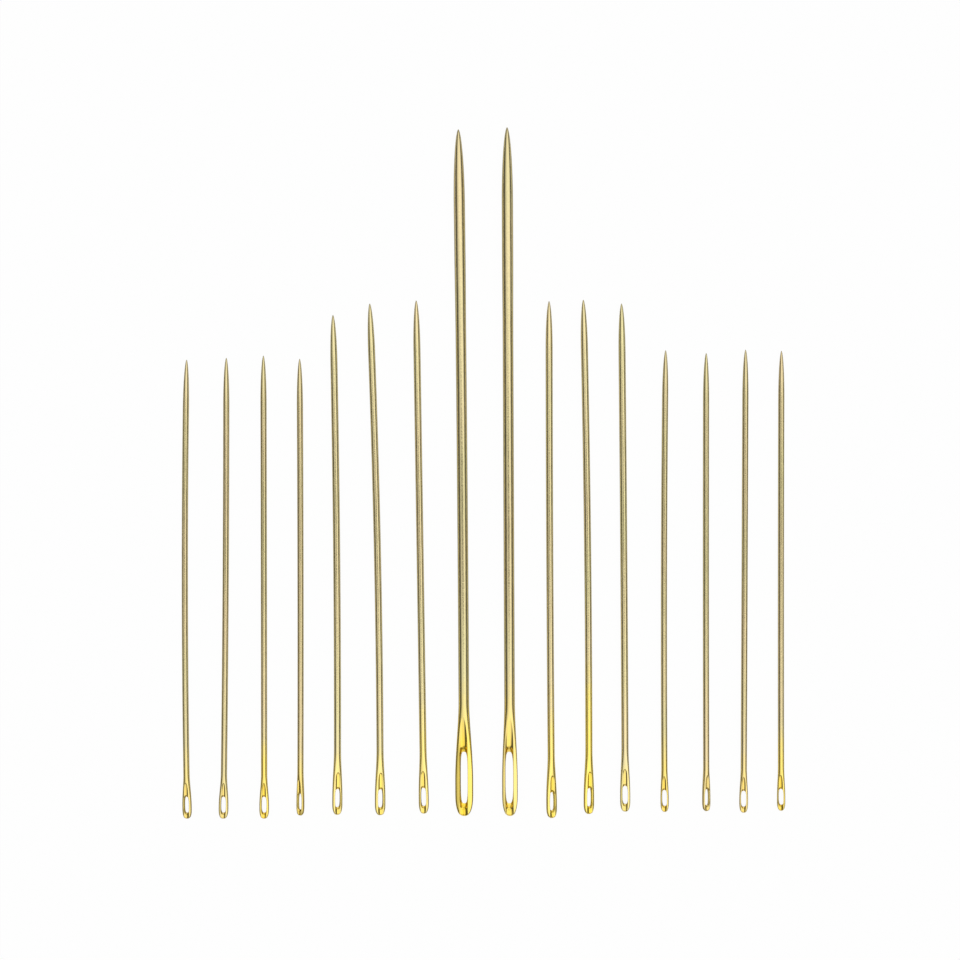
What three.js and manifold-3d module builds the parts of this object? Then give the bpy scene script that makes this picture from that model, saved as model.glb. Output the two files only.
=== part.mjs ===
// A set of sixteen gold-plated embroidery needles in three sizes, laid out side by side on a table.
// Millimetres, +Z up, points towards +Y. Every needle is one length of steel wire with a ground point.
// Its head is pressed wide and thin, grooved on both faces and pierced by a long eye for the thread.
import * as THREE from "three";
import { mergeVertices } from "three/addons/utils/BufferGeometryUtils.js";
import Module from "manifold-3d";

const wasm = await Module();
wasm.setup();

// The three sizes of needle. Places along a needle are measured from the end of its head.
const LARGE = {
  length: 60,
  shaftDiameter: 0.92,
  pointLength: 6.6,
  headLength: 10,
  headWidth: 1.54,
  headThickness: 0.64,
  widestAt: 3,
  endRound: 1.5,
  eyeInset: 1.1,
  eyeLength: 4.5,
  eyeWidth: 0.7,
  grooveLength: 3.1,
  grooveWidth: 0.6,
  webThickness: 0.26,
};
const MEDIUM = {
  length: 44.9,
  shaftDiameter: 0.61,
  pointLength: 4.3,
  headLength: 5.6,
  headWidth: 0.89,
  headThickness: 0.42,
  widestAt: 1.4,
  endRound: 0.75,
  eyeInset: 0.66,
  eyeLength: 1.6,
  eyeWidth: 0.48,
  grooveLength: 1.5,
  grooveWidth: 0.42,
  webThickness: 0.3,
};
const SMALL = {
  length: 40.2,
  shaftDiameter: 0.53,
  pointLength: 4.3,
  headLength: 3.9,
  headWidth: 0.81,
  headThickness: 0.38,
  widestAt: 1.1,
  endRound: 0.65,
  eyeInset: 0.52,
  eyeLength: 1.4,
  eyeWidth: 0.45,
  grooveLength: 1.25,
  grooveWidth: 0.36,
  webThickness: 0.26,
};

// The needles lie in a row at this even pitch, give or take.
const ROW_PITCH = 3.47;

// How each needle lies: how far it strays across from its even place and how far the end of its head is
// set back (in pitches), its lean to the right and the roll that lifts its head's right edge (degrees),
// the bow of its shaft to the right and its length (both as a share of its size's own length), and how
// wide its head came out of the press (as a share of its size's own head width).
const ROW = [
  {
    name: "small_needle_1",
    size: SMALL,
    stray: 0.005,
    back: -0.02,
    lean: -0.08,
    roll: 9,
    bow: -0.0046,
    reach: 0.998,
    spread: 0.98,
  },
  {
    name: "small_needle_2",
    size: SMALL,
    stray: -0.085,
    back: -0.02,
    lean: 0.36,
    roll: 0,
    bow: 0.0017,
    reach: 1.002,
    spread: 1.02,
  },
  {
    name: "small_needle_3",
    size: SMALL,
    stray: -0.057,
    back: -0.02,
    lean: -0.1,
    roll: 0,
    bow: 0.0002,
    reach: 1.007,
    spread: 1.02,
  },
  {
    name: "small_needle_4",
    size: SMALL,
    stray: -0.146,
    back: 0.06,
    lean: -0.09,
    roll: 27,
    bow: 0.0012,
    reach: 0.993,
    spread: 0.87,
  },
  {
    name: "medium_needle_1",
    size: MEDIUM,
    stray: -0.214,
    back: 0.08,
    lean: -0.5,
    roll: -18,
    bow: 0.0033,
    reach: 0.973,
    spread: 0.98,
  },
  {
    name: "medium_needle_2",
    size: MEDIUM,
    stray: -0.134,
    back: 0.07,
    lean: -1.17,
    roll: -17,
    bow: 0.0051,
    reach: 0.996,
    spread: 1.02,
  },
  {
    name: "medium_needle_3",
    size: MEDIUM,
    stray: -0.032,
    back: 0.11,
    lean: -0.87,
    roll: 7,
    bow: 0.0002,
    reach: 0.999,
    spread: 0.97,
  },
  {
    name: "large_needle_1",
    size: LARGE,
    stray: -0.015,
    back: 0.06,
    lean: -0.5,
    roll: 11,
    bow: 0.0013,
    reach: 0.999,
    spread: 1,
  },
  {
    name: "large_needle_2",
    size: LARGE,
    stray: 0.136,
    back: 0.06,
    lean: -0.25,
    roll: 3,
    bow: 0,
    reach: 1.002,
    spread: 0.88,
  },
  {
    name: "medium_needle_4",
    size: MEDIUM,
    stray: 0.187,
    back: 0,
    lean: -0.3,
    roll: -22,
    bow: -0.0012,
    reach: 1.006,
    spread: 1.05,
  },
  {
    name: "medium_needle_5",
    size: MEDIUM,
    stray: 0.122,
    back: 0.1,
    lean: -0.62,
    roll: -18,
    bow: 0.0031,
    reach: 1.001,
    spread: 1.02,
  },
  {
    name: "medium_needle_6",
    size: MEDIUM,
    stray: 0.038,
    back: 0.16,
    lean: -0.42,
    roll: 8,
    bow: 0.0008,
    reach: 0.989,
    spread: 0.99,
  },
  {
    name: "small_needle_5",
    size: SMALL,
    stray: 0.033,
    back: 0.15,
    lean: 0.12,
    roll: 13,
    bow: -0.0026,
    reach: 1.004,
    spread: 0.88,
  },
  {
    name: "small_needle_6",
    size: SMALL,
    stray: 0.082,
    back: 0.17,
    lean: -0.02,
    roll: -20,
    bow: -0.0008,
    reach: 0.996,
    spread: 0.88,
  },
  {
    name: "small_needle_7",
    size: SMALL,
    stray: 0.02,
    back: 0.13,
    lean: 0.25,
    roll: 10,
    bow: 0,
    reach: 1.007,
    spread: 0.93,
  },
  {
    name: "small_needle_8",
    size: SMALL,
    stray: -0.034,
    back: 0.18,
    lean: 0.04,
    roll: 18,
    bow: -0.0008,
    reach: 1,
    spread: 0.87,
  },
];

// Shape of the ground points: with both at 1 they would be plain cones. Less roundness blunts the very
// tip, more fullness gives a rounder shoulder.
const POINT_ROUNDNESS = 0.6;
const POINT_FULLNESS = 1.8;

// Flats round the wire, with one of them underneath, and steps along its stretches.
const SIDES = 16;
const POINT_STEPS = 6;
const SHAFT_STEPS = 4;
const HEAD_STEPS = 7;
const END_STEPS = 3;

// The plating: champagne gold on the shafts, a fuller yellow at the pressed heads.
const SHAFT_GOLD = new THREE.MeshStandardMaterial({ color: 0xcdb985, roughness: 0.3, metalness: 1 });
const HEAD_GOLD = new THREE.MeshStandardMaterial({ color: 0xe0bd5a, roughness: 0.25, metalness: 1 });

function toSolid(geometry) {
  const bare = new THREE.BufferGeometry();
  bare.setAttribute("position", geometry.getAttribute("position"));
  bare.setIndex(geometry.getIndex());
  const welded = mergeVertices(bare, 1e-5);
  const corners = welded.getIndex().array;
  const triangles = [];
  for (let i = 0; i < corners.length; i += 3) {
    const [a, b, c] = corners.subarray(i, i + 3);
    if (a !== b && b !== c && c !== a) {
      triangles.push(a, b, c);
    }
  }
  const vertProperties = new Float32Array(welded.getAttribute("position").array);
  const triVerts = new Uint32Array(triangles);
  return new wasm.Manifold(new wasm.Mesh({ numProp: 3, vertProperties, triVerts }));
}

function toGeometry(solid) {
  const mesh = solid.getMesh();
  const geometry = new THREE.BufferGeometry();
  geometry.setAttribute("position", new THREE.BufferAttribute(new Float32Array(mesh.vertProperties), 3));
  geometry.setIndex(new THREE.BufferAttribute(new Uint32Array(mesh.triVerts), 1));
  geometry.computeVertexNormals();
  return geometry;
}

// A round bar along Y from its profile. Its flats lie on the true radius.
function lathed(profile) {
  const outer = 1 / Math.cos(Math.PI / SIDES);
  const points = profile.map(([radius, along]) => new THREE.Vector2(radius * outer, along));
  return new THREE.LatheGeometry(points, SIDES, Math.PI / SIDES);
}

// Half the width and half the thickness of the head, this far from its end.
function pressedHalves(size, spread, along) {
  const radius = size.shaftDiameter / 2;
  const press = 1 - THREE.MathUtils.smoothstep(along, size.widestAt, size.headLength);
  return {
    width: radius + ((size.headWidth * spread) / 2 - radius) * press,
    thickness: radius + (size.headThickness / 2 - radius) * press,
  };
}

// The shaft: drawn wire from the head to the shoulder, then a point ground to a slim ogive.
function shaftSolid(size, length) {
  const radius = size.shaftDiameter / 2;
  const shoulder = length - size.pointLength;
  const profile = [[0, size.headLength]];
  for (let i = 0; i < SHAFT_STEPS; i++) {
    profile.push([radius, size.headLength + ((shoulder - size.headLength) * i) / SHAFT_STEPS]);
  }
  for (let i = POINT_STEPS; i > 0; i--) {
    const fromTip = (i / POINT_STEPS) ** 1.6;
    const share = 1 - (1 - fromTip ** POINT_ROUNDNESS) ** POINT_FULLNESS;
    profile.push([radius * share, length - size.pointLength * fromTip]);
  }
  profile.push([0, length]);
  return toSolid(lathed(profile));
}

// The head before it is pierced: the wire's rounded end, pressed between two flat dies.
function pressedBlank(size) {
  const radius = size.shaftDiameter / 2;
  const profile = [[0, 0]];
  for (let i = 1; i <= END_STEPS; i++) {
    const turn = (i / END_STEPS) * (Math.PI / 2);
    profile.push([radius * Math.sin(turn), size.endRound * (1 - Math.cos(turn))]);
  }
  for (let i = 1; i <= HEAD_STEPS; i++) {
    profile.push([radius, size.endRound + ((size.headLength - size.endRound) * i) / HEAD_STEPS]);
  }
  profile.push([0, size.headLength]);
  return lathed(profile);
}

// The dies work square to the head, so the blank is turned under them and back again.
function pressHead(blank, size, spread, roll) {
  const radius = size.shaftDiameter / 2;
  const points = blank.getAttribute("position");
  blank.rotateY(roll);
  for (let i = 0; i < points.count; i++) {
    const { width, thickness } = pressedHalves(size, spread, points.getY(i));
    const flat = THREE.MathUtils.clamp(points.getZ(i), -thickness, thickness);
    points.setXYZ(i, (points.getX(i) * width) / radius, points.getY(i), flat);
  }
  return blank;
}

// The long eye with round ends, right through the head.
function eyeCutter(size) {
  const half = size.eyeWidth / 2;
  const low = size.eyeInset + half;
  const high = size.eyeInset + size.eyeLength - half;
  const outline = new THREE.Shape();
  outline.absarc(0, high, half, 0, Math.PI);
  outline.absarc(0, low, half, Math.PI, 2 * Math.PI);
  const depth = 2 * size.headWidth;
  const cutter = new THREE.ExtrudeGeometry(outline, { depth, bevelEnabled: false, curveSegments: 6 });
  return cutter.translate(0, 0, -depth / 2);
}

// The groove that leads the thread into the eye. Its floor runs level from the end of the head to the
// top of the eye, then climbs out of the wire. The lower face has the same groove turned over.
function grooveCutter(size, spread) {
  const floor = size.webThickness / 2;
  const eyeTop = size.eyeInset + size.eyeLength;
  const runOut = eyeTop + size.grooveLength;
  const surface = pressedHalves(size, spread, runOut).thickness;
  const clear = 2 * size.shaftDiameter;
  const outline = new THREE.Shape();
  outline.moveTo(-size.endRound, floor);
  outline.lineTo(eyeTop, floor);
  outline.lineTo(runOut, surface);
  outline.lineTo(runOut, surface + clear);
  outline.lineTo(-size.endRound, surface + clear);
  const cutter = new THREE.ExtrudeGeometry(outline, { depth: size.grooveWidth, bevelEnabled: false });
  const stand = new THREE.Matrix4().makeBasis(
    new THREE.Vector3(0, 1, 0),
    new THREE.Vector3(0, 0, 1),
    new THREE.Vector3(1, 0, 0),
  );
  return cutter.applyMatrix4(stand).translate(-size.grooveWidth / 2, 0, 0);
}

function eyeSolid(size, spread, roll) {
  const upper = grooveCutter(size, spread);
  const lower = upper.clone().rotateZ(Math.PI).rotateX(Math.PI);
  const head = toSolid(pressHead(pressedBlank(size), size, spread, roll))
    .subtract(toSolid(upper))
    .subtract(toSolid(lower))
    .subtract(toSolid(eyeCutter(size)));
  return head.rotate([0, THREE.MathUtils.radToDeg(-roll), 0]);
}

// A drawn wire is never quite straight: its middle stands off by the bow, in the plane of the table.
function bowed(geometry, bow, length) {
  const points = geometry.getAttribute("position");
  for (let i = 0; i < points.count; i++) {
    const fromMiddle = (2 * points.getY(i)) / length - 1;
    points.setX(i, points.getX(i) + bow * (1 - fromMiddle ** 2));
  }
  return geometry;
}

function needle({ name, size, stray, back, lean, roll, bow, reach, spread }, place) {
  const length = size.length * reach;
  const sag = bow * length;
  const turn = THREE.MathUtils.degToRad(roll);
  const shaft = new THREE.Mesh(bowed(toGeometry(shaftSolid(size, length)), sag, length), SHAFT_GOLD);
  const eye = new THREE.Mesh(bowed(toGeometry(eyeSolid(size, spread, turn)), sag, length), HEAD_GOLD);
  shaft.name = `${name}_shaft`;
  eye.name = `${name}_eye`;
  const whole = new THREE.Group();
  whole.add(shaft, eye);
  const lowest = new THREE.Box3().setFromObject(whole).min.z;
  whole.rotation.z = -THREE.MathUtils.degToRad(lean);
  whole.position.set((place + stray) * ROW_PITCH, back * ROW_PITCH, -lowest);
  return whole;
}

// The row stands on z = 0 with its middle over the origin.
const set = new THREE.Group();
set.name = "embroidery_needle_set";
set.add(...ROW.map(needle));
const middle = new THREE.Box3().setFromObject(set).getCenter(new THREE.Vector3());
set.position.set(-middle.x, -middle.y, 0);
set.updateMatrixWorld(true);

export default set;
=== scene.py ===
"""Sixteen loose gold-plated embroidery needles, laid in a row on a pale table and seen from above."""

import bpy
import numpy as np
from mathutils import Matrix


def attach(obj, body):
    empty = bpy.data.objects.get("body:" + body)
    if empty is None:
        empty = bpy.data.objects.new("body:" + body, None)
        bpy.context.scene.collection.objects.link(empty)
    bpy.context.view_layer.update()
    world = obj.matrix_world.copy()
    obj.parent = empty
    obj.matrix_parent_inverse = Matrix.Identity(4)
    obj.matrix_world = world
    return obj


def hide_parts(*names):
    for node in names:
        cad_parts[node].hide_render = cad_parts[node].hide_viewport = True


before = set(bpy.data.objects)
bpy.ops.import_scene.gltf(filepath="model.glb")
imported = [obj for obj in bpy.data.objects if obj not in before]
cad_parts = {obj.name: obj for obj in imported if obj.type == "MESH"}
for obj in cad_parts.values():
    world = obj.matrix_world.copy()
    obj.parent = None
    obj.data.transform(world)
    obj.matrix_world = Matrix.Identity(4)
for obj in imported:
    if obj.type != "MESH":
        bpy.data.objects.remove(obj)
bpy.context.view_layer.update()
scene = bpy.context.scene

# Large needles: the two longest, in the middle of the row. Each is one length of drawn steel wire with a
# ground ogive point; its head is pressed wide and flat, grooved on both faces and pierced by a long eye.
# Gold plating covers it, pale champagne on the drawn shaft and yellower on the pressed head.
MM = 0.001
LARGE = {
    "radius": 0.46,          # of the drawn wire, mm like all sizes here
    "swell": 0.06,           # how much thicker the wire is behind its point, as a share
    "point_length": 6.6,
    "head_length": 10.0,     # from the head end to where the wire is round again
    "head_width": 1.54,
    "head_thickness": 0.64,
    "squareness": 8.0,       # power of the superellipse section in the press
    "roof": 0.32,            # how much thinner the head is at its sides than in its middle, as a share
    "widest_at": 3.0,
    "end_round": 2.0,        # length of the rounded end, seen from above
    "end_squareness": 2.55,  # 2 would make it an ellipse
    "lip_round": 0.25,       # length of the same end, seen from the side
    "eye_inset": 1.1,
    "eye_length": 4.5,
    "eye_width": 0.68,
    "eye_power": 3.4,        # 2 would make the eye an ellipse, more makes its ends squarer
    "eye_slope": 0.22,       # reach of the web's set-down round the eye, as a share of the eye's size
    "slope_drop": 0.12,      # and its depth
    "rim_round": 0.06,       # reach of the rounding of the rails' edges along the eye
    "rim_drop": 0.12,        # and what it takes off there, as a share of the height
    "web_thickness": 0.26,   # of the metal between the two grooves, above the eye
    "groove_length": 3.1,
    "groove_floor": 0.1,     # width of its flat floor
    "groove_width": 0.74,    # width between the tops of its flanks
    "end_web": 0.26,         # web, floor and width of the groove below the eye
    "end_floor": 0.1,
    "end_width": 0.74,
    "flank_power": 2.0,      # 1 makes straight flanks, 2 a parabola
    "groove_arch": 2.0,      # 2 ends the groove in an ellipse, more in a squarer arch
    "groove_run_out": 1.0,   # 1 lets its floor climb evenly, more keeps it deep to its end
}
# how each one came out: roll about its length in degrees, bow to the right as a share of its length,
# width of its head as a share of the size above, how far its eye is punched off the middle in mm, and
# the reach of the head's yellow in mm and its strength
LARGE_NEEDLES = {
    "large_needle_1": (11, 0.0013, 1.0, 0, 12.5, 1.0),
    "large_needle_2": (3, 0, 0.88, -0.06, 13.5, 0.62),
}


def smooth(share):
    """The cubic 3s² - 2s³ of a share held between 0 and 1: level at both ends."""
    share = np.clip(share, 0, 1)
    return share * share * (3 - 2 * share)


def crowded(start, end, count):
    """Places from start to end by the first quarter of a cosine, so that they crowd together at start."""
    return start + (end - start) * (1 - np.cos(np.linspace(0, np.pi / 2, count)))


def eye_span(size):
    """Half the width of the eye, and how far its lower and its upper end lie from the head end."""
    return size["eye_width"] / 2, size["eye_inset"], size["eye_inset"] + size["eye_length"]


# how many sections are taken towards each end of the head, the eye and the groove, along the straight part
# of the eye, above the eye, from the groove to the round wire, along the shaft and on the point
END_STATIONS = 12
EYE_STATIONS = 14
GROOVE_STATIONS = 16
HEAD_STATIONS = 8
SHAFT_STATIONS = 26
POINT_STATIONS = 22
GROOVE_MIDDLE = 0.6          # share of the groove's length above the eye where its two runs meet
STATION_DECIMALS = 6         # sections that agree to this many decimals of a mm are one


def needle_stations(size, length):
    """Distances from the head end at which the section is taken, close together at the head end,
    at both ends of the eye, at the end of the groove and at the point."""
    half_eye, eye_low, eye_high = eye_span(size)
    groove_mid = eye_high + GROOVE_MIDDLE * size["groove_length"]
    groove_end = eye_high + size["groove_length"]
    places = np.concatenate([
        crowded(0, eye_low / 2, END_STATIONS),
        crowded(eye_low, eye_low / 2, END_STATIONS),
        crowded(eye_low, eye_low + half_eye, END_STATIONS),
        np.linspace(eye_low + half_eye, eye_high - half_eye, EYE_STATIONS),
        crowded(eye_high, eye_high - half_eye, END_STATIONS),
        crowded(eye_high, groove_mid, GROOVE_STATIONS),
        crowded(groove_end, groove_mid, END_STATIONS),
        np.linspace(groove_end, size["head_length"], HEAD_STATIONS),
        np.linspace(size["head_length"], length - size["point_length"], SHAFT_STATIONS),
        crowded(length, length - size["point_length"], POINT_STATIONS),
    ])
    return np.unique(np.round(places, STATION_DECIMALS))


POINT_ROUNDNESS = 0.6        # with both at 1 the point would be a plain cone: less rounds its tip
POINT_FULLNESS = 1.8         # and more gives it a rounder shoulder
SWELL_FROM = 0.7             # share of the length at which the wire begins to swell
SWELL_OVER = 0.12            # and over which it does


def needle_section(size, length, along):
    """Half width, half thickness and power of the superellipse section at each distance from the head end.
    The wire's radius goes over to the pressed width and thickness by the cubic, and by the same cubic to
    the swell behind the point. A superellipse closes the head end seen from above, an ellipse seen from the
    side. The point narrows by 1 - (1 - t^r)^n, where t runs from 0 at the tip to 1 at the full wire."""
    press = 1 - smooth((along - size["widest_at"]) / (size["head_length"] - size["widest_at"]))
    half_width = size["radius"] + (size["head_width"] / 2 - size["radius"]) * press
    half_thickness = size["radius"] + (size["head_thickness"] / 2 - size["radius"]) * press
    power = 2 + (size["squareness"] - 2) * press
    swell = 1 + size["swell"] * smooth((along - SWELL_FROM * length) / (SWELL_OVER * length))
    from_end = 1 - np.clip(along / size["end_round"], 0, 1)
    half_width = half_width * (1 - from_end ** size["end_squareness"]) ** (1 / size["end_squareness"])
    half_thickness = half_thickness * np.sqrt(1 - (1 - np.clip(along / size["lip_round"], 0, 1)) ** 2)
    taper = np.clip((length - along) / size["point_length"], 0, 1)
    point = 1 - (1 - taper ** POINT_ROUNDNESS) ** POINT_FULLNESS
    return half_width * point * swell, half_thickness * point * swell, power


FLOOR_LANES = 7              # points across half the groove's floor, its flank and the rail beside it
FLANK_LANES = 8
RAIL_LANES = 16
EYE_CLOSED = 0.01            # share of the eye's width below which it counts as closed
SET_DOWN_STEEPNESS = 2       # 1 spreads the set-down round the eye over its reach, 2 over the outer half
SIDE_FROM = 0.85             # share of the head's half width from which shade is painted on its sides
SIDE_SHADE = 1.3             # painted shade on the sides at mid thickness, held to 1, and its loss from there to the face
SIDE_SHADE_LOSS = 1.7
SHADE_SHARPNESS = 4          # how soon the painted shade on the groove's flanks and over the eye is full
EYE_SHADE = 0.6              # strength of the painted shade over the eye
TINY = 1e-9                  # keeps divisors off zero


def half_face(size, length):
    """One half of a straight needle's upper face, in mm from its head end: a grid of points (across, along,
    up, recess, crevice, give). Rows go along the needle. Lanes go from the eye's edge, or the middle where
    there is no eye, over the groove's floor, its flank and the rail, out to the side.
    The eye is a superellipse seen from above. The height is that of the superellipse section, less an even
    fall to the side like a roof's. The groove lowers it to the web over a flat floor, and its flanks climb
    by a power of the way across; above the eye it narrows to an arch while its floor climbs out. A quarter
    circle rounds the rails' edges along the eye, and the web is set down round the eye.
    Recess is the groove's depth as a share, and the fifth value is painted shade: how much the groove's
    flanks, the web's set-down over the eye and the head's sides are darkened where shade falls. Give is how
    far the place goes along with an eye that is punched off the middle: at the outline, not at all."""
    half_eye, eye_low, eye_high = eye_span(size)
    eye_power = size["eye_power"]
    along = needle_stations(size, length)[:, None]
    half_width, half_thickness, power = needle_section(size, length, along)
    from_eye = np.abs(along - (eye_low + eye_high) / 2) / (size["eye_length"] / 2)
    opening = half_eye * np.maximum(1 - from_eye ** eye_power, 0) ** (1 / eye_power)
    opening = np.where(opening < EYE_CLOSED * half_eye, 0, opening)

    # the lanes, by the groove's half widths at its floor and at the tops of its flanks
    climb = np.clip((along - eye_high) / size["groove_length"], 0, 1)
    arch = np.sqrt(1 - climb ** size["groove_arch"]) + TINY
    below = along < (eye_low + eye_high) / 2
    floor = np.where(below, size["end_floor"], size["groove_floor"]) / 2 * arch
    edge = np.where(below, size["end_width"], size["groove_width"]) / 2 * arch
    floor_end = np.clip(floor, opening, np.maximum(half_width, opening))
    flank_end = np.clip(edge, opening, np.maximum(half_width, opening))
    rail = (1 - np.cos(np.linspace(0, np.pi, RAIL_LANES))) / 2
    across = np.concatenate([
        opening + (floor_end - opening) * np.linspace(0, 1, FLOOR_LANES),
        floor_end + (flank_end - floor_end) * np.linspace(0, 1, FLANK_LANES)[1:],
        flank_end + (half_width - flank_end) * rail[1:],
    ], axis=1)

    # the pressed section, with painted shade on its sides
    share = np.divide(across, half_width, out=np.ones_like(across), where=half_width > 0)
    height = half_thickness * np.maximum(1 - share ** power, 0) ** (1 / power)
    pressed = (power - 2) / (size["squareness"] - 2)
    height = height * (1 - size["roof"] * pressed * share)
    side = smooth((share - SIDE_FROM) / (1 - SIDE_FROM))
    side = side * smooth(SIDE_SHADE - SIDE_SHADE_LOSS * height / (half_thickness + TINY))

    # the groove
    inside = 1 - np.clip((across - floor) / (edge - floor), 0, 1) ** size["flank_power"]
    depth = 1 - climb ** size["groove_run_out"]
    recess = inside * depth
    web = np.where(below, size["end_web"], size["web_thickness"])
    height = height * (1 - recess * (1 - web / size["head_thickness"]))

    # the eye's surroundings: outside is 1 at its edge and grows away from it, by steepness for each mm
    outside = (from_eye ** eye_power + (across / half_eye) ** eye_power) ** (1 / eye_power)
    steepness = np.hypot((from_eye / outside) ** (eye_power - 1) / (size["eye_length"] / 2),
                         (across / half_eye / outside) ** (eye_power - 1) / half_eye)
    from_rim = 1 - np.clip((outside - 1) / steepness / size["rim_round"], 0, 1)
    height = height * (1 - size["rim_drop"] * (1 - inside) * (1 - np.sqrt(1 - from_rim ** 2)))
    turn = np.clip(1 - (outside - 1) / size["eye_slope"], 0, 1) * inside
    height = np.maximum(height - size["slope_drop"] * np.minimum(SET_DOWN_STEEPNESS * turn, 1), 0)

    # painted shade: darker on the groove's flanks, on the web's set-down over the eye and on the pressed
    # head's sides
    flank_shade = inside * (1 - inside) * smooth(SHADE_SHARPNESS * depth)
    eye_shade = EYE_SHADE * smooth(SHADE_SHARPNESS * turn) * (along > eye_high)
    painted_shade = np.maximum(np.maximum(flank_shade, eye_shade), side * pressed)
    give = (1 - share ** 2) * (1 - smooth(from_eye - 1))
    along = np.broadcast_to(along, across.shape)
    return np.stack([across, along, height, recess, painted_shade, give], axis=-1)


def grid_faces(rows, columns, first, flip):
    """Two triangles for each cell of a grid whose points are numbered row by row from first."""
    corner = first + np.arange(rows - 1)[:, None] * columns + np.arange(columns - 1)
    quads = np.stack([corner, corner + 1, corner + columns + 1, corner + columns], axis=-1).reshape(-1, 4)
    if flip:
        quads = quads[:, ::-1]
    return np.concatenate([quads[:, [0, 1, 2]], quads[:, [0, 2, 3]]])


WALL_STEPS = 7               # points down the wall of the eye
WELD = 1e-5                  # points closer than this, in mm, are one


def needle_surface(size, length, eye_shift):
    """Points, as in half_face, and triangles of a whole straight needle. The lower face and the other half
    are mirror images of the half face, and a straight wall joins the two faces round the eye. Points that
    fall together are welded. An eye punched off the middle takes the metal near it along."""
    upper = half_face(size, length)
    under, mirror = (1, 1, -1, 1, 1, 1), (-1, 1, 1, 1, 1, 1)
    right = np.concatenate([upper, upper[:, -2::-1] * under], axis=1)
    _, eye_low, eye_high = eye_span(size)
    along = upper[:, 0, 1]
    pierced = (along > eye_low - WELD) & (along < eye_high + WELD)
    wall = np.repeat(upper[pierced, :1], WALL_STEPS, axis=1)
    wall[..., 2] *= np.linspace(1, -1, WALL_STEPS)

    points, faces = [], []
    for grid, flip in ((right, False), (right * mirror, True), (wall, True), (wall * mirror, False)):
        faces.append(grid_faces(*grid.shape[:2], sum(map(len, points)), flip))
        points.append(grid.reshape(-1, len(mirror)))
    points, faces = np.concatenate(points), np.concatenate(faces)
    _, first, index = np.unique(np.round(points[:, :3] / WELD).astype(np.int64), axis=0,
                                return_index=True, return_inverse=True)
    faces = index.ravel()[faces]
    faces = faces[(faces != np.roll(faces, 1, axis=1)).all(axis=1)]
    points = points[first]
    points[:, 0] += eye_shift * points[:, 5]
    return points, faces


def node_points(node):
    """The corners of a CAD node in the frame, in metres, one row each."""
    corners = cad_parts[node].data.vertices
    flat = np.empty(len(corners) * 3)
    corners.foreach_get("co", flat)
    return flat.reshape(-1, 3)


def lay_needle(points, head, tip, roll, bow):
    """Turns a straight needle about its length by its roll, bows it sideways by the parabola
    1 - (2s - 1)², and lays it from its head end to its tip. Lengths go from mm to metres."""
    length = np.linalg.norm(tip - head)
    across, along, up = points[:, :3].T * MM
    turn = np.radians(roll)
    side = across * np.cos(turn) - up * np.sin(turn) + bow * length * (1 - (2 * along / length - 1) ** 2)
    rise = across * np.sin(turn) + up * np.cos(turn)
    ahead = (tip - head) / length
    aside = np.array([ahead[1], -ahead[0], 0])
    return head + side[:, None] * aside + along[:, None] * ahead + rise[:, None] * np.array([0, 0, 1])


def make_needle(name, size, roll, bow, spread, eye_shift, yellow_reach, yellowness, material):
    """One needle from its head end to its tip, which are the far corners of its two CAD solids. It carries
    what its plating depends on: the way from the head, the groove, the painted shade and where the wire is
    drawn."""
    eye, shaft = node_points(f"{name}_eye"), node_points(f"{name}_shaft")
    head, tip = eye[eye[:, 1].argmin()], shaft[shaft[:, 1].argmax()]
    own_size = {**size, "head_width": size["head_width"] * spread}
    length = np.linalg.norm(tip - head) / MM
    points, faces = needle_surface(own_size, length, eye_shift)
    along = points[:, 1]
    carried = {
        "from_head": along / yellow_reach,
        "recess": points[:, 3],
        "painted_shade": points[:, 4],
        "drawn": smooth(along / size["head_length"] - 1) * smooth((length - along) / size["point_length"]),
        "yellowness": np.full(len(points), yellowness),
    }
    mesh = bpy.data.meshes.new(name)
    mesh.from_pydata(lay_needle(points, head, tip, roll, bow).tolist(), [], faces.tolist())
    mesh.polygons.foreach_set("use_smooth", np.ones(len(faces), dtype=bool))
    for label, values in carried.items():
        mesh.attributes.new(label, "FLOAT", "POINT").data.foreach_set("value", values.astype(np.float32))
    mesh.update()
    needle = bpy.data.objects.new(name, mesh)
    scene.collection.objects.link(needle)
    mesh.materials.append(material)
    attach(needle, name)
    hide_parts(f"{name}_shaft", f"{name}_eye")


def add_node(tree, kind, inputs=None, **settings):
    """A shader node with its settings; each input takes a plain value or another node's output."""
    node = tree.nodes.new(kind)
    for label, value in settings.items():
        setattr(node, label, value)
    for socket, value in (inputs or {}).items():
        if isinstance(value, bpy.types.NodeSocket):
            tree.links.new(value, node.inputs[socket])
        else:
            node.inputs[socket].default_value = value
    return node


def add_math(tree, operation, *values, clamp=False):
    """The result of one operation on numbers."""
    inputs = dict(enumerate(values))
    return add_node(tree, "ShaderNodeMath", inputs, operation=operation, use_clamp=clamp).outputs[0]


def add_vector_math(tree, operation, *values):
    """The result of one operation on vectors, which is a number for a dot product."""
    node = add_node(tree, "ShaderNodeVectorMath", dict(enumerate(values)), operation=operation)
    return node.outputs["Value" if operation == "DOT_PRODUCT" else "Vector"]


def add_range(tree, value, span, result=(0, 1), steps="LINEAR"):
    """The value with its span laid over the result, evenly or by the cubic, and held at the ends outside."""
    inputs = {"Value": value, "From Min": span[0], "From Max": span[1],
              "To Min": result[0], "To Max": result[1]}
    return add_node(tree, "ShaderNodeMapRange", inputs, interpolation_type=steps).outputs["Result"]


def add_colour_mix(tree, share, first, second):
    """The first colour, gone over to the second by a share. Sockets 6 and 7 are a Mix node's two colours."""
    inputs = {"Factor": share, 6: first, 7: second}
    return add_node(tree, "ShaderNodeMix", inputs, data_type="RGBA").outputs[2]


def carried_value(tree, name):
    """What a needle carries at each place under this name."""
    return add_node(tree, "ShaderNodeAttribute", attribute_name=name).outputs["Fac"]


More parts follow.
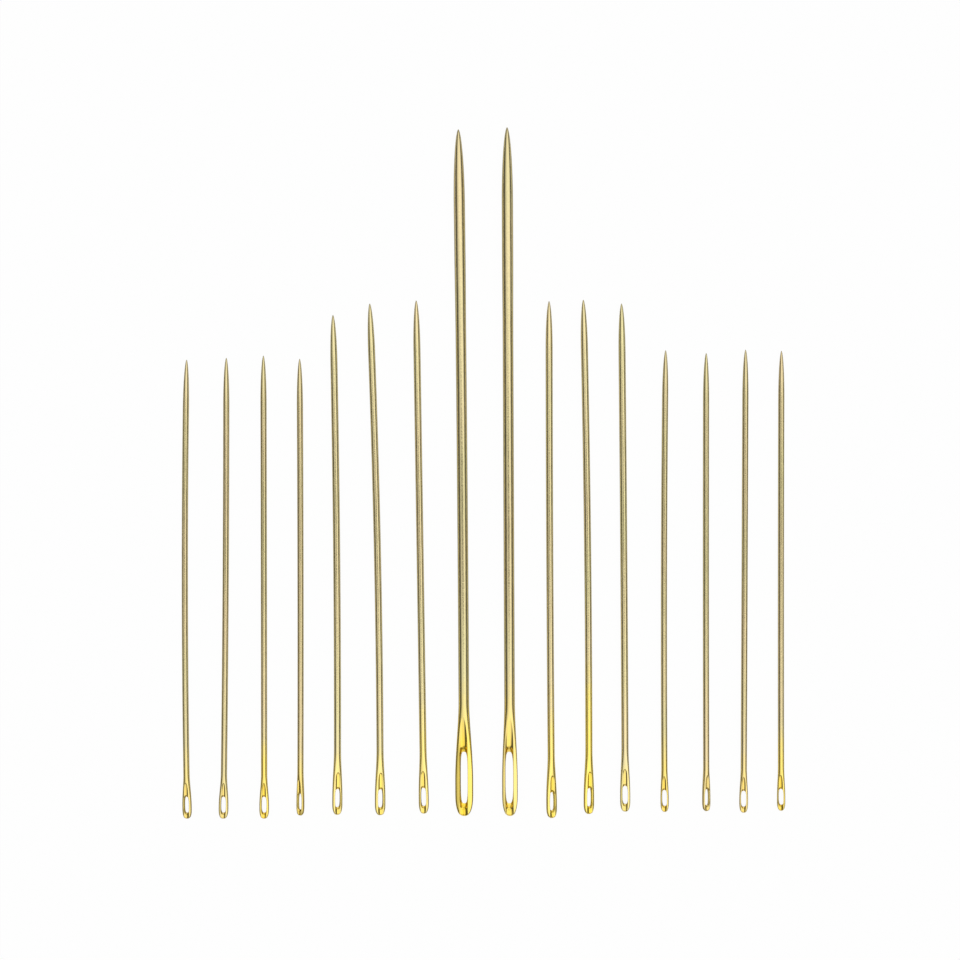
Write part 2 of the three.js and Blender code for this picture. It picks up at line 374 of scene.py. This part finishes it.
def new_group(name, inputs, outputs):
    """An empty shader node group with number sockets of these names; its ends come back with it."""
    group = bpy.data.node_groups.new(name, "ShaderNodeTree")
    for label in inputs:
        group.interface.new_socket(label, in_out="INPUT", socket_type="NodeSocketFloat")
    for label in outputs:
        group.interface.new_socket(label, in_out="OUTPUT", socket_type="NodeSocketFloat")
    return group, group.nodes.new("NodeGroupInput").outputs, group.nodes.new("NodeGroupOutput").inputs


# grain of drawn and plated wire: streaks along the needle, fine specks, and a slow drift of the plating's
# tone from needle to needle and along each; all lengths in metres
DRIFT_LENGTHS = (0.0025, 0.009, 0.0025)
wire_grain, given, result = new_group("drawn_wire_grain", ["Streak Width", "Streak Length", "Speck Size"],
                                      ["Streaks", "Specks", "Drift"])
coords = add_node(wire_grain, "ShaderNodeTexCoord").outputs["Object"]
streak_size = add_node(wire_grain, "ShaderNodeCombineXYZ",
                       {"X": given["Streak Width"], "Y": given["Streak Length"], "Z": given["Streak Width"]})
speck_size = add_node(wire_grain, "ShaderNodeCombineXYZ",
                      {"X": given["Speck Size"], "Y": given["Speck Size"], "Z": given["Speck Size"]})
for label, lengths, look in (
        ("Streaks", streak_size.outputs[0], {"Scale": 1, "Detail": 3, "Roughness": 0.6}),
        ("Specks", speck_size.outputs[0], {"Scale": 1, "Detail": 2, "Roughness": 0.7}),
        ("Drift", DRIFT_LENGTHS, {"Scale": 1, "Detail": 1})):
    place = add_vector_math(wire_grain, "DIVIDE", coords, lengths)
    noise = add_node(wire_grain, "ShaderNodeTexNoise", {"Vector": place, **look})
    wire_grain.links.new(noise.outputs["Fac"], result[label])

# yellow of the head: strong at the head end, fading up the shaft with an uneven edge
PATCHES_PER_METRE = 900
head_yellow, given, result = new_group("head_yellow", ["Fade", "Unevenness"], ["Yellow"])
coords = add_node(head_yellow, "ShaderNodeTexCoord").outputs["Object"]
patches = add_node(head_yellow, "ShaderNodeTexNoise",
                   {"Vector": coords, "Scale": PATCHES_PER_METRE, "Detail": 3}).outputs["Fac"]
wobble = add_math(head_yellow, "SUBTRACT", patches, 0.5)
reach = add_math(head_yellow, "MULTIPLY_ADD", wobble, given["Unevenness"],
                 carried_value(head_yellow, "from_head"))
start = add_math(head_yellow, "SUBTRACT", 1, given["Fade"])
fade = add_range(head_yellow, reach, (start, 1), (1, 0), "SMOOTHSTEP")
yellow = add_math(head_yellow, "MULTIPLY", fade, carried_value(head_yellow, "yellowness"))
head_yellow.links.new(yellow, result["Yellow"])

EDGE_TINT = (0.28, 0.25, 0.17, 1)      # colour of the plating where it is seen at a glancing angle
# painted shade: its brown for the groove's flanks, round the eye and on the head's sides, and its strength
SHADE_BROWN = (0.25, 0.14, 0.025, 1)
SHADE_STRENGTH = 0.7
YELLOW_FADE = 0.5                      # share of the yellow's reach over which it fades
YELLOW_UNEVENNESS = 0.4
STREAK_STRETCH = 30                    # length of a streak in widths
NOISE_SPAN = (0.3, 0.7)                # where nearly all of the drift's and the streaks' values lie
SPECK_SPAN = (0.35, 0.7)
SPECK_SHADE = (0.91, 1.06)             # how much specks and streaks darken and lighten the colour
STREAK_SHADE = (0.93, 1.06)
GLOSS = (0.08, 0.17)                   # roughness of the plating, by the streaks
RELIEF = (0.25, 1)                     # share of the grain's relief on smooth parts and on drawn wire
RELIEF_STRENGTH = 0.9
RELIEF_HEIGHT = 0.000006


def gold_plating(name, champagne, rosy, yellow, groove_shade_gold, streak_width, speck_size):
    """Gold plate on drawn steel: champagne to rosy on the shaft and yellow on the head. A deeper, more orange
    gold is painted in the groove as gold-on-gold reflection and shade, and brown shade is painted on its
    flanks, round the eye and on the head's sides. Streaks and specks break up the drawn wire, while the
    ground point and the pressed head are smooth."""
    material = bpy.data.materials.new(name)
    material.use_nodes = True
    tree = material.node_tree
    shader = tree.nodes["Principled BSDF"]
    grain = add_node(tree, "ShaderNodeGroup", node_tree=wire_grain)
    grain.inputs["Streak Width"].default_value = streak_width
    grain.inputs["Streak Length"].default_value = STREAK_STRETCH * streak_width
    grain.inputs["Speck Size"].default_value = speck_size
    head = add_node(tree, "ShaderNodeGroup", node_tree=head_yellow)
    head.inputs["Fade"].default_value = YELLOW_FADE
    head.inputs["Unevenness"].default_value = YELLOW_UNEVENNESS
    streaks, specks, drift = grain.outputs["Streaks"], grain.outputs["Specks"], grain.outputs["Drift"]
    drawn = carried_value(tree, "drawn")

    colour = add_colour_mix(tree, add_range(tree, drift, NOISE_SPAN), (*champagne, 1), (*rosy, 1))
    colour = add_colour_mix(tree, head.outputs["Yellow"], colour, (*yellow, 1))
    # painted reflection and shade: a deeper, more orange gold over the groove, by its depth, for the
    # gold-on-gold light there
    groove_paint = add_math(tree, "MULTIPLY", carried_value(tree, "recess"), carried_value(tree, "yellowness"))
    colour = add_colour_mix(tree, groove_paint, colour, (*groove_shade_gold, 1))
    # painted shade: brown where the groove's flanks, the set-down over the eye and the head's sides fall into
    # shade
    shade_amount = add_math(tree, "MULTIPLY", carried_value(tree, "painted_shade"), SHADE_STRENGTH)
    colour = add_colour_mix(tree, shade_amount, colour, SHADE_BROWN)
    worn = add_range(tree, specks, SPECK_SPAN, SPECK_SHADE)
    lined = add_range(tree, streaks, NOISE_SPAN, STREAK_SHADE)
    shade = add_math(tree, "MULTIPLY", worn, lined)
    # sockets 2 and 3 are a Mix node's two numbers
    shade = add_node(tree, "ShaderNodeMix", {"Factor": drawn, 2: 1, 3: shade}).outputs[0]
    colour = add_node(tree, "ShaderNodeVectorMath", {0: colour, "Scale": shade}, operation="SCALE")
    gloss = add_range(tree, streaks, NOISE_SPAN, GLOSS)
    ridges = add_math(tree, "MULTIPLY_ADD", specks, 1, streaks)
    ridges = add_math(tree, "MULTIPLY", ridges, add_range(tree, drawn, (0, 1), RELIEF))
    bump = add_node(tree, "ShaderNodeBump",
                    {"Strength": RELIEF_STRENGTH, "Distance": RELIEF_HEIGHT, "Height": ridges})
    tree.links.new(colour.outputs[0], shader.inputs["Base Color"])
    tree.links.new(gloss, shader.inputs["Roughness"])
    tree.links.new(bump.outputs["Normal"], shader.inputs["Normal"])
    shader.inputs["Metallic"].default_value = 1
    shader.inputs["Specular Tint"].default_value = EDGE_TINT
    return material


large_gold = gold_plating("large_needle_gold", champagne=(0.62, 0.556, 0.29), rosy=(0.665, 0.552, 0.305),
                          yellow=(0.84, 0.65, 0.15), groove_shade_gold=(0.9, 0.63, 0.06),
                          streak_width=0.00006, speck_size=0.00011)
for name, how in LARGE_NEEDLES.items():
    make_needle(name, LARGE, *how, large_gold)

# Medium needles: three on each side of the large ones. They are made like the large needles, of thinner
# gold-plated steel wire, with a short eye and a short groove that keeps its depth up to its arched end.
MEDIUM = {
    "radius": 0.305,
    "swell": 0,
    "point_length": 4.3,
    "head_length": 5.6,
    "head_width": 0.89,
    "head_thickness": 0.42,
    "squareness": 4.0,
    "roof": 0,
    "widest_at": 1.4,
    "end_round": 1.0,
    "end_squareness": 2.5,
    "lip_round": 0.16,
    "eye_inset": 0.66,
    "eye_length": 1.6,
    "eye_width": 0.48,
    "eye_power": 3.2,
    "eye_slope": 0.2,
    "slope_drop": 0.07,
    "rim_round": 0.05,
    "rim_drop": 0.15,
    "web_thickness": 0.3,
    "groove_length": 1.5,
    "groove_floor": 0.17,
    "groove_width": 0.42,
    "end_web": 0.26,
    "end_floor": 0.1,
    "end_width": 0.5,
    "flank_power": 1.0,
    "groove_arch": 5.0,
    "groove_run_out": 20.0,
}
MEDIUM_NEEDLES = {
    "medium_needle_1": (-18, 0.0033, 0.98, 0, 6.5, 0.5),
    "medium_needle_2": (-17, 0.0051, 1.02, 0, 6.5, 0.55),
    "medium_needle_3": (7, 0.0002, 0.97, 0, 11.5, 0.52),
    "medium_needle_4": (-22, -0.0012, 1.05, 0, 12.0, 0.7),
    "medium_needle_5": (-18, 0.0031, 1.02, 0, 15.0, 0.85),
    "medium_needle_6": (8, 0.0008, 0.99, 0, 5.0, 0.35),
}
medium_gold = gold_plating("medium_needle_gold", champagne=(0.65, 0.58, 0.3), rosy=(0.695, 0.577, 0.32),
                           yellow=(0.88, 0.69, 0.13), groove_shade_gold=(0.88, 0.62, 0.06),
                           streak_width=0.00005, speck_size=0.00009)
for name, how in MEDIUM_NEEDLES.items():
    make_needle(name, MEDIUM, *how, medium_gold)

# Small needles: four at each end of the row, the thinnest gold-plated steel wire of the set. The head is
# made as on the others; the groove is short and the eye is a little narrower than the wire.
SMALL = {
    "radius": 0.265,
    "swell": 0,
    "point_length": 4.3,
    "head_length": 3.9,
    "head_width": 0.81,
    "head_thickness": 0.38,
    "squareness": 4.0,
    "roof": 0,
    "widest_at": 1.1,
    "end_round": 0.9,
    "end_squareness": 2.6,
    "lip_round": 0.14,
    "eye_inset": 0.52,
    "eye_length": 1.4,
    "eye_width": 0.45,
    "eye_power": 3.2,
    "eye_slope": 0.2,
    "slope_drop": 0.06,
    "rim_round": 0.05,
    "rim_drop": 0.15,
    "web_thickness": 0.26,
    "groove_length": 1.25,
    "groove_floor": 0.12,
    "groove_width": 0.36,
    "end_web": 0.22,
    "end_floor": 0.08,
    "end_width": 0.46,
    "flank_power": 1.0,
    "groove_arch": 3.0,
    "groove_run_out": 8.0,
}
SMALL_NEEDLES = {
    "small_needle_1": (9, -0.0046, 0.98, 0, 7.0, 0.4),
    "small_needle_2": (0, 0.0017, 1.02, 0, 4.5, 0.3),
    "small_needle_3": (0, 0.0002, 1.02, 0, 8.5, 0.75),
    "small_needle_4": (27, 0.0012, 0.87, 0, 6.5, 0.5),
    "small_needle_5": (13, -0.0026, 0.88, 0, 7.5, 0.6),
    "small_needle_6": (-20, -0.0008, 0.88, 0, 5.0, 0.3),
    "small_needle_7": (10, 0, 0.93, 0, 6.0, 0.4),
    "small_needle_8": (18, -0.0008, 0.87, 0, 8.3, 0.72),
}
small_gold = gold_plating("small_needle_gold", champagne=(0.605, 0.53, 0.272), rosy=(0.65, 0.53, 0.295),
                          yellow=(0.86, 0.65, 0.11), groove_shade_gold=(0.86, 0.58, 0.05),
                          streak_width=0.00005, speck_size=0.00009)
for name, how in SMALL_NEEDLES.items():
    make_needle(name, SMALL, *how, small_gold)

# Table: the plain matt white sheet that the needles lie on, wide enough to fill every view. To the camera
# nearly all of its white is its own, so that it stays white; in the gold it is mostly lit paper, with the
# needle's own shadow on it.
TABLE_HALF = 3.0
OWN_WHITE = 0.96             # share of its white that is its own, to the camera
MIRRORED_WHITE = 0.2         # and in the gold
PAPER_WHITE = (0.95, 0.95, 0.95, 1)
table_mesh = bpy.data.meshes.new("table")
corners = np.array([(-1, -1, 0), (1, -1, 0), (1, 1, 0), (-1, 1, 0)]) * TABLE_HALF
table_mesh.from_pydata(corners.tolist(), [], [(0, 1, 2, 3)])
table = bpy.data.objects.new("table", table_mesh)
scene.collection.objects.link(table)
white = bpy.data.materials.new("table_white")
white.use_nodes = True
tree = white.node_tree
tree.nodes.clear()
light_path = add_node(tree, "ShaderNodeLightPath").outputs
mirrored = add_math(tree, "ADD", light_path["Is Glossy Ray"], light_path["Is Transmission Ray"])
mirrored = add_math(tree, "MULTIPLY", mirrored, MIRRORED_WHITE)
own = add_math(tree, "MULTIPLY_ADD", light_path["Is Camera Ray"], OWN_WHITE, mirrored, clamp=True)
paper = add_node(tree, "ShaderNodeBsdfDiffuse", {"Color": PAPER_WHITE}).outputs[0]
glow = add_node(tree, "ShaderNodeEmission", {"Color": (1, 1, 1, 1), "Strength": 1}).outputs[0]
sheet = add_node(tree, "ShaderNodeMixShader", {0: own, 1: paper, 2: glow}).outputs[0]
add_node(tree, "ShaderNodeOutputMaterial", {"Surface": sheet})
table_mesh.materials.append(white)

# Light: one wide soft box overhead in a dim room, brighter to the right and the near side. The camera looks
# through a gap across its middle, which is why the needles are darker half way along. The gold shows white
# paper beyond both ends of the row, and to the camera the room is plain white.
BOX_AXIS = (0.035, 0, 0.999)
BOX_EDGE = (59, 45)            # degrees off the axis where the box begins and where it is full
BOX_LEVEL = 1.5
BOX_FALL = (0.3, -0.08, 1)     # how its level changes across it; straight overhead it is 1
LEAST_FALL = 0.4
ROOM_LEVEL = 0.36
GAP_CENTRE = (-0.02, -0.024, 1)
GAP_HALF = (0.82, 0.135, 9)    # half its length across and its half width, as shares of its height overhead
GAP_EDGE = (0.25, 1)           # shares of those halves where its edge begins and ends
GAP_LEVEL = 0.13               # share of the box's light that is left in the gap
SWEEP_AXIS = (-0.5, 1, 0)      # the paper stands to the ends of the row, less of it to the sides
SWEEP_EDGE = (0.55, 0.9)

world = bpy.data.worlds.new("studio")
world.use_nodes = True
tree = world.node_tree
background = tree.nodes["Background"]
direction = add_node(tree, "ShaderNodeTexCoord").outputs["Generated"]
from_axis = add_vector_math(tree, "DOT_PRODUCT", direction, BOX_AXIS)
box = add_range(tree, from_axis, np.cos(np.radians(BOX_EDGE)), (ROOM_LEVEL, BOX_LEVEL), "SMOOTHSTEP")
fall = add_math(tree, "MAXIMUM", add_vector_math(tree, "DOT_PRODUCT", direction, BOX_FALL), LEAST_FALL)
off_gap = add_vector_math(tree, "SUBTRACT", direction, GAP_CENTRE)
off_gap = add_vector_math(tree, "ABSOLUTE", add_vector_math(tree, "DIVIDE", off_gap, GAP_HALF))
off_gap = add_vector_math(tree, "DOT_PRODUCT", off_gap, (1, 1, 1))
gap = add_range(tree, off_gap, GAP_EDGE, (GAP_LEVEL, 1), "SMOOTHSTEP")
level = add_math(tree, "MULTIPLY", add_math(tree, "MULTIPLY", box, fall), gap)
endwise = add_vector_math(tree, "DOT_PRODUCT", add_vector_math(tree, "ABSOLUTE", direction), SWEEP_AXIS)
sweep = add_range(tree, endwise, SWEEP_EDGE, steps="SMOOTHSTEP")
light_path = add_node(tree, "ShaderNodeLightPath").outputs
mirrored = add_math(tree, "ADD", light_path["Is Glossy Ray"], light_path["Is Transmission Ray"])
shown = add_math(tree, "MULTIPLY_ADD", mirrored, sweep, light_path["Is Camera Ray"], clamp=True)
strength = add_node(tree, "ShaderNodeMix", {"Factor": shown, 2: level, 3: 1}).outputs[0]
tree.links.new(strength, background.inputs["Strength"])
background.inputs["Color"].default_value = (1, 1, 1, 1)
scene.world = world
scene.view_settings.view_transform = "Standard"

# Camera: straight above the row with a long lens, the points towards the top of the picture. It stands as
# far off as the lens needs to take in the view's width at the height of the wires.
VIEW_WIDTH = 0.08384
VIEW_CENTRE = (-0.00029, -0.0006)
WIRE_HEIGHT = 0.0004
LENS = 60                    # mm, like the sensor
SENSOR_WIDTH = 36
camera_data = bpy.data.cameras.new("camera")
camera_data.lens = LENS
camera_data.sensor_width = SENSOR_WIDTH
camera = bpy.data.objects.new("camera", camera_data)
camera.location = (*VIEW_CENTRE, WIRE_HEIGHT + VIEW_WIDTH * LENS / SENSOR_WIDTH)
scene.collection.objects.link(camera)
scene.camera = camera
